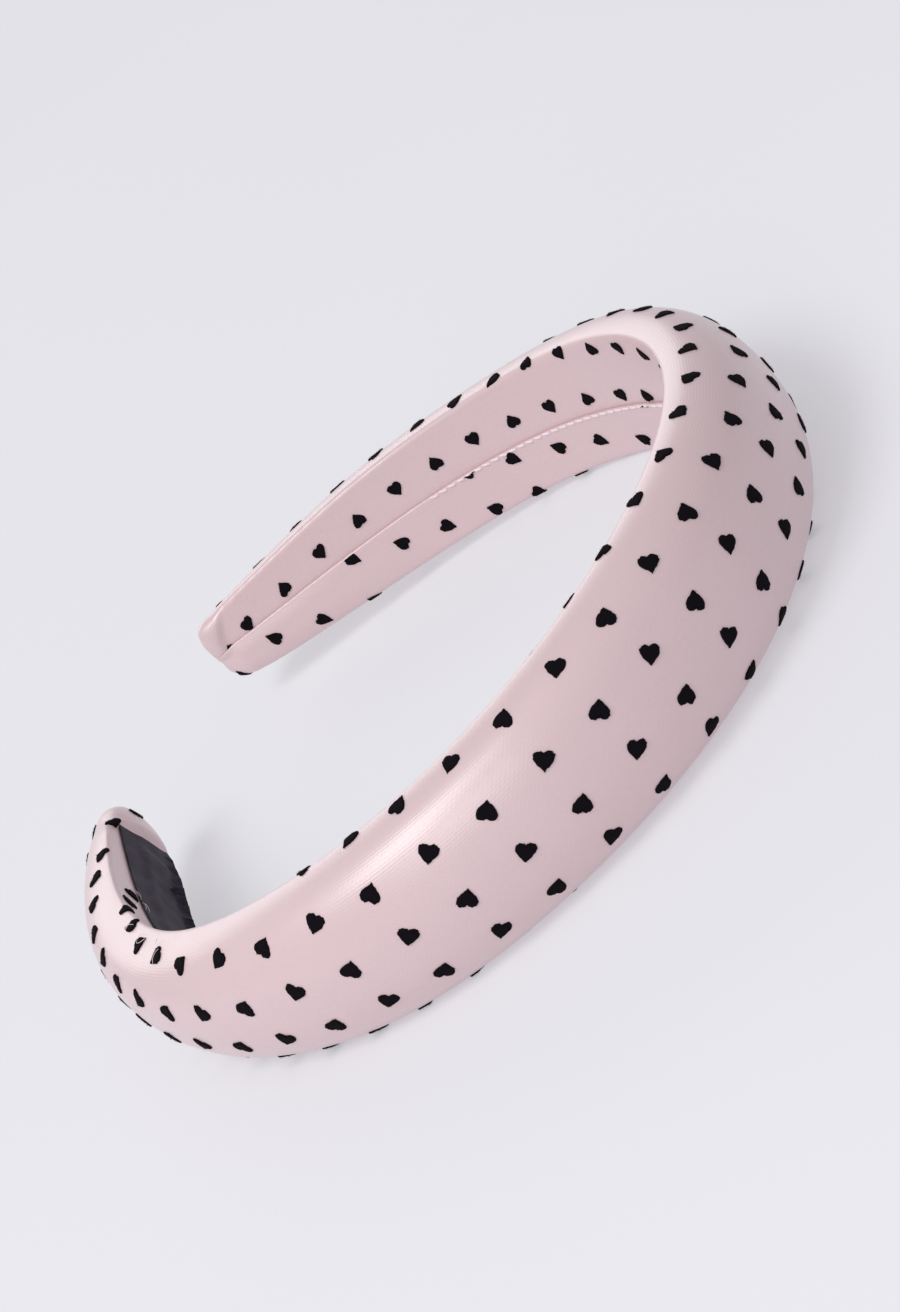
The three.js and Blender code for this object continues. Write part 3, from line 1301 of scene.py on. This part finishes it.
UPPER_ROWS = (
    HeartRow(RowKind.OUTSIDE, 9, (-1.1, 9.66, -0.005), (-21.4, 0.172, -0.0009), False),
    HeartRow(RowKind.OUTSIDE, 10, (84.9, 9.6, 0.0), (-24.1, 0.133, 0.0), True),
    HeartRow(RowKind.OUTSIDE, 17, (-10.8, -9.5, 0.0), (-21.4, 0.13, 0.0), True),
    HeartRow(RowKind.TURNED, 5, (70.1, 8.09, 0.124), (-28.1, -0.058, 0.00145), True),
    HeartRow(RowKind.OUTSIDE, 8, (113.6, 9.45, 0.06), (-33.8, 0.145, 0.0), False),
    HeartRow(RowKind.TURNED, 1, (65.2, 0.0, 0.0), (-28.5, 0.0, 0.0), False),
    HeartRow(RowKind.TURNED, 8, (57.0, -9.0, 0.0), (-40.4, 0.12, 0.0), False),
    HeartRow(RowKind.OUTSIDE, 15, (52.8, -9.0, 0.0), (-31.5, 0.12, 0.0), True),
    HeartRow(RowKind.FACE, 1, (84.4, 0.0, 0.0), (-1.6, 0.0, 0.0), True),
    HeartRow(RowKind.FACE, 11, (90.8, 8.08, 0.088), (-32.9, 0.516, -0.00177), False),
    HeartRow(RowKind.FACE, 1, (186.0, 0.0, 0.0), (0.9, 0.0, 0.0), True),
    HeartRow(RowKind.FACE, 1, (-177.3, 0.0, 0.0), (3.4, 0.0, 0.0), True),
    HeartRow(RowKind.OUTSIDE, 1, (-168.6, 0.0, 0.0), (-16.2, 0.0, 0.0), False),
)
DOME_ROWS = (
    HeartRow(RowKind.OUTSIDE, 18, (-1.9, -9.3, -0.038), (-11.9, 0.116, -0.0002), True),
    HeartRow(RowKind.OUTSIDE, 5, (7.7, 9.72, 0.1), (-11.9, 0.104, -0.0001), False),
    HeartRow(RowKind.OUTSIDE, 14, (57.5, 10.02, 0.0), (-12.4, 0.108, 0.0), True),
    HeartRow(RowKind.OUTSIDE, 10, (-2.5, -9.35, -0.008), (-3.2, 0.109, 0.00015), False),
    HeartRow(RowKind.OUTSIDE, 7, (-97.0, -8.9, 0.23), (-25.7, -0.383, -0.00254), False),
    HeartRow(RowKind.OUTSIDE, 4, (7.0, 9.64, 0.018), (-3.5, 0.059, 0.00016), True),
    HeartRow(RowKind.OUTSIDE, 12, (45.8, 9.6, 0.0), (-5.9, 0.13, 0.0), True),
    HeartRow(RowKind.OUTSIDE, 10, (-2.8, -9.5, 0.019), (4.9, 0.072, -0.00023), True),
    HeartRow(RowKind.OUTSIDE, 8, (-95.7, -8.61, 0.146), (-13.7, -0.301, -0.00206), True),
    HeartRow(RowKind.OUTSIDE, 1, (-155.4, 0.0, 0.0), (-15.6, 0.0, 0.0), True),
    HeartRow(RowKind.OUTSIDE, 4, (7.0, 9.71, -0.178), (4.7, 0.061, -0.00065), False),
    HeartRow(RowKind.OUTSIDE, 8, (44.3, 9.87, 0.0), (0.1, 0.164, 0.0), False),
)
LOWER_ROWS = (
    HeartRow(RowKind.OUTSIDE, 21, (-2.4, -9.98, 0.072), (13.1, 0.054, -0.0004), False),
    HeartRow(RowKind.OUTSIDE, 9, (7.6, 9.88, 0.0), (13.0, 0.116, 0.0), True),
    HeartRow(RowKind.OUTSIDE, 20, (-2.4, -9.8, 0.05), (22.3, 0.054, -0.0004), True),
    HeartRow(RowKind.OUTSIDE, 5, (7.5, 9.8, 0.0), (22.6, 0.12, 0.0), False),
    HeartRow(RowKind.OUTSIDE, 20, (-2.4, -9.8, 0.05), (31.4, 0.054, -0.0004), False),
    HeartRow(RowKind.OUTSIDE, 3, (7.5, 9.8, 0.0), (31.5, 0.1, 0.0), True),
    HeartRow(RowKind.FLAP, 3, (57.6, 8.6, 0.0), (-27.7, 0.273, 0.0), True),
    HeartRow(RowKind.FLAP, 1, (86.3, 0.0, 0.0), (-2.6, 0.0, 0.0), False),
    HeartRow(RowKind.FLAP, 4, (95.2, 8.45, 0.062), (-49.7, 0.52, -0.00111), True),
    HeartRow(RowKind.FLAP, 1, (130.0, 0.0, 0.0), (-0.1, 0.0, 0.0), True),
    HeartRow(RowKind.FLAP, 5, (122.6, 8.95, -0.062), (5.0, -0.479, 0.00283), False),
    HeartRow(RowKind.FLAP, 3, (160.3, 9.05, 0.0), (-73.3, 0.4, 0.0), True),
)


@dataclass
class HeartPattern:
    """Small raised hearts in rows along the cloth, each turned the other way from its neighbours."""

    width: float = 3.3
    height: float = 3.15
    pile: float = 0.28
    ragged: float = 0.035
    outline_points: int = 40
    side_waves: tuple[float, float] = (3.2, 12.0)
    lobe_waves: tuple[float, ...] = (12.5, -3.3, -1.25, -0.35)
    end_inset: float = 1.8
    fold_cover: float = 1.0
    fold_margin: float = 0.12
    stretch_step: float = 0.2
    fibres: int = 60
    fibre_length: float = 0.3
    fibre_width: float = 0.07
    fibre_stray: float = 0.45
    fibre_rise: tuple[float, float] = (0.6, 1.3)
    fibre_base: float = 0.6
    rim_share: float = 0.93
    inner_share: float = 0.25
    seed: int = 5
    ring_scales: tuple[float, ...] = (1.0, 0.99, 0.95, 0.85, 0.6, 0.3)
    ring_lifts: tuple[float, ...] = (-0.3, 0.5, 0.8, 0.95, 1.0, 1.0)
    rows: tuple[HeartRow, ...] = UPPER_ROWS + DOME_ROWS + LOWER_ROWS

    def _outline(self) -> np.ndarray:
        """The heart's outline, its point down, as points across and up in millimetres."""
        t = np.linspace(0, 2 * math.pi, self.outline_points, endpoint=False)
        x = self.side_waves[1] * np.sin(t) ** 3 + self.side_waves[0] * np.sin(t)
        y = sum(wave * np.cos((order + 1) * t) for order, wave in enumerate(self.lobe_waves))
        x = x / np.ptp(x) * self.width
        y = (y - (y.max() + y.min()) / 2) / np.ptp(y) * self.height
        return np.stack([x, y], axis=-1)

    def _hearts(self) -> tuple[np.ndarray, np.ndarray, np.ndarray, np.ndarray]:
        """All hearts that show.

        Returns:
            Distances along, distances across the cloth, signed sizes and leans.
        """
        stretches = [row.places() for row in self.rows]
        along, across, size, lean = (np.concatenate(part) for part in zip(*stretches))
        before_end = along < SHAPE.far_end.end - self.end_inset
        on_cloth = (along > -SHAPE.near_end.end + self.end_inset) & before_end
        under_flap = across < COVER.on_upper_face(along, FLAP.fold_height(along)) - self.fold_cover
        past_fold = across > FLAP.fold_across(along) + self.fold_cover
        shown = on_cloth & ~under_flap & ~past_fold
        return along[shown], across[shown], size[shown], lean[shown]

    def build(self, flock: bpy.types.Material) -> bpy.types.Object:
        """All hearts as one mesh.

        Args:
            flock: their finish.

        Returns:
            The hearts.
        """
        draw = np.random.default_rng(self.seed)
        along, across, size, lean = self._hearts()
        rough = 1 + self.ragged * draw.normal(0, 1, (along.size, self.outline_points))
        upright = self._outline()[None] * (size[:, None] * rough)[..., None]
        turn = np.array([[np.cos(lean), -np.sin(lean)], [np.sin(lean), np.cos(lean)]])
        outline = np.einsum("abh,hpb->hpa", turn, upright)
        scales = np.array(self.ring_scales)[None, :, None]
        spread = outline[:, None] * scales[..., None]
        lift = np.array(self.ring_lifts)[None, :, None] * self.pile + 0 * spread[..., 0]
        piles = self._on_cloth(along, across, spread, lift)
        points = piles.reshape(-1, 3)
        one = closed_faces(scales.size, self.outline_points)
        faces = repeated_faces(one, scales.size * self.outline_points, along.size)
        fuzz = self._fuzz(along, across, outline, draw)
        spike = [[0, 1, 3], [1, 2, 3], [2, 0, 3], [2, 1, 0]]
        spike_points = 4
        faces += repeated_faces(spike, spike_points, along.size * self.fibres, points.shape[0])
        return make_piece("flock_hearts", np.concatenate([points, fuzz]), faces, flock)

    def _on_cloth(
        self, along: np.ndarray, across: np.ndarray, spread: np.ndarray, lift: np.ndarray
    ) -> np.ndarray:
        """Points of hearts on the cloth, cut at the fold of the flap.

        Args:
            along: the hearts' middles, from the crown.
            across: the hearts' middles, from the top of the dome.
            spread: points of each heart, towards the upper edge and along the band, in millimetres.
            lift: each point's lift off the cloth.

        Returns:
            The points, in metres.
        """
        aside = spread[..., 0]
        ahead = spread[..., 1]
        step = self.stretch_step
        pull = COVER.points(along + step, across) - COVER.points(along - step, across)
        stretch = np.linalg.norm(pull, axis=-1) / (2 * step * MM)
        wide = (slice(None),) + (None,) * (aside.ndim - 1)
        point_along = along[wide] + ahead / stretch[wide]
        fold = FLAP.fold_across(point_along)
        past = np.maximum(across[wide] - aside - fold, 0)
        point_across = np.minimum(across[wide] - aside, fold) + past / (1 + past / self.fold_margin)
        return COVER.raised(point_along, point_across, lift + FLAP.proud(point_along, point_across))

    def _fuzz(
        self, along: np.ndarray, across: np.ndarray, outline: np.ndarray, draw: np.random.Generator
    ) -> np.ndarray:
        """Loose fibres over each heart, thickest at its rim.

        Args:
            along: the hearts' middles, from the crown.
            across: the hearts' middles, from the top of the dome.
            outline: each heart's own outline.
            draw: the source of the fibres' places.

        Returns:
            Four points for each fibre, the last of them its tip, in metres.
        """
        hearts = along.size
        pick = draw.integers(0, self.outline_points, (hearts, self.fibres))
        inward = np.sqrt(draw.uniform(self.inner_share, 1.0, (hearts, self.fibres)))
        root = outline[np.arange(hearts)[:, None], pick] * inward[..., None]
        stray = draw.normal(0, self.fibre_stray, (hearts, self.fibres, 2)) * self.fibre_length
        side = draw.normal(0, 1, (hearts, self.fibres, 2))
        side *= self.fibre_width / 2 / np.linalg.norm(side, axis=-1, keepdims=True)
        back = np.stack([-side[..., 1], side[..., 0]], axis=-1)
        spread = np.stack([root - side, root + side, root + back, root + stray], axis=2)
        rise = draw.uniform(*self.fibre_rise, (hearts, self.fibres)) * self.fibre_length
        base = np.where(inward > self.rim_share, 0.0, self.fibre_base) * self.pile
        lift = np.stack([base, base, base, base + rise], axis=2)
        return self._on_cloth(along, across, spread, lift).reshape(-1, 3)


@dataclass(frozen=True)
class SoftBox:
    """A soft light: its name, its middle and its size in metres, and its power in watts."""

    name: str
    place: Triple
    size: tuple[float, float]
    power: float

    def build(self) -> None:
        """Makes the light, facing the band."""
        data = bpy.data.lights.new(self.name, "AREA")
        data.shape = "RECTANGLE"
        data.size, data.size_y = self.size
        data.energy = self.power
        light = bpy.data.objects.new(self.name, data)
        light.location = self.place
        light.rotation_euler = (-Vector(self.place)).to_track_quat("-Z", "Y").to_euler()
        bpy.context.scene.collection.objects.link(light)


@dataclass
class Studio:
    """The camera, the floor and the lights.

    The boxes stand high on the left, in front and behind, and pale light comes from all around.
    """

    camera_place: Triple = (-0.31819, -0.56571, 0.28319)
    camera_target: Triple = (0.00382, -0.00584, 0.01327)
    camera_roll_deg: float = -46.165
    lens: float = 118.53
    sensor_width: float = 36.0
    sight: float = 50.0
    floor_half: float = 6.0
    sky: Colour = (0.96, 0.96, 1.0, 1.0)
    sky_strength: float = 0.505
    boxes: tuple[SoftBox, ...] = (
        SoftBox("window_left", (-0.8, -0.1, 1.25), (0.7, 0.7), 10.0),
        SoftBox("window_front", (-1.05, -0.75, 0.72), (0.7, 0.7), 4.0),
        SoftBox("window_back", (0.6, 1.5, 0.62), (1.6, 0.7), 6.0),
    )

    def build(self) -> None:
        """Makes all of it."""
        self._camera()
        self._floor()
        self._lights()

    def _camera(self) -> None:
        """The camera at the photograph's angle."""
        data = bpy.data.cameras.new("camera")
        data.lens = self.lens
        data.sensor_width = self.sensor_width
        data.clip_end = self.sight
        place = Vector(self.camera_place)
        ahead = (Vector(self.camera_target) - place).normalized()
        level_right = ahead.cross(Vector((0, 0, 1))).normalized()
        level_up = level_right.cross(ahead)
        roll = math.radians(self.camera_roll_deg)
        right = level_right * math.cos(roll) + level_up * math.sin(roll)
        up = level_up * math.cos(roll) - level_right * math.sin(roll)
        camera = bpy.data.objects.new("camera", data)
        turn = Matrix((right, up, -ahead)).transposed()
        camera.matrix_world = Matrix.Translation(place) @ turn.to_4x4()
        bpy.context.scene.collection.objects.link(camera)
        bpy.context.scene.camera = camera

    def _floor(self) -> None:
        """A wide level floor."""
        half = self.floor_half
        mesh = bpy.data.meshes.new("floor")
        corners = [(-half, -half, 0), (half, -half, 0), (half, half, 0), (-half, half, 0)]
        mesh.from_pydata(corners, [], [(0, 1, 2, 3)])
        mesh.materials.append(FloorFinish().make())
        floor = bpy.data.objects.new("floor", mesh)
        bpy.context.scene.collection.objects.link(floor)

    def _lights(self) -> None:
        """The soft boxes and the pale light around."""
        scene = bpy.context.scene
        world = bpy.data.worlds.new("studio")
        world.use_nodes = True
        background = world.node_tree.nodes["Background"]
        background.inputs["Color"].default_value = self.sky
        background.inputs["Strength"].default_value = self.sky_strength
        scene.world = world
        scene.view_settings.view_transform = "Standard"
        for box in self.boxes:
            box.build()


def main() -> None:
    """Builds the pieces in order."""
    logging.basicConfig(level=logging.INFO, format="%(message)s")
    satin = SatinFinish().make()
    flock = FlockFinish().make()
    ribbon = RibbonFinish().make()
    thread = ThreadFinish().make()
    Studio().build()
    PaddedBand().build(satin)
    FLAP.build(satin)
    SeamStitches().build(thread)
    TipFold("satin_tip_far", "tip_fold_far", Arm.FAR, SHAPE.far_end).build(satin)
    TipFold("satin_tip_near", "tip_fold_near", Arm.NEAR, SHAPE.near_end).build(satin)
    RibbonPatch().build(ribbon)
    LooseThreads().build(thread)
    HeartPattern().build(flock)


if __name__ == "__main__":
    main()
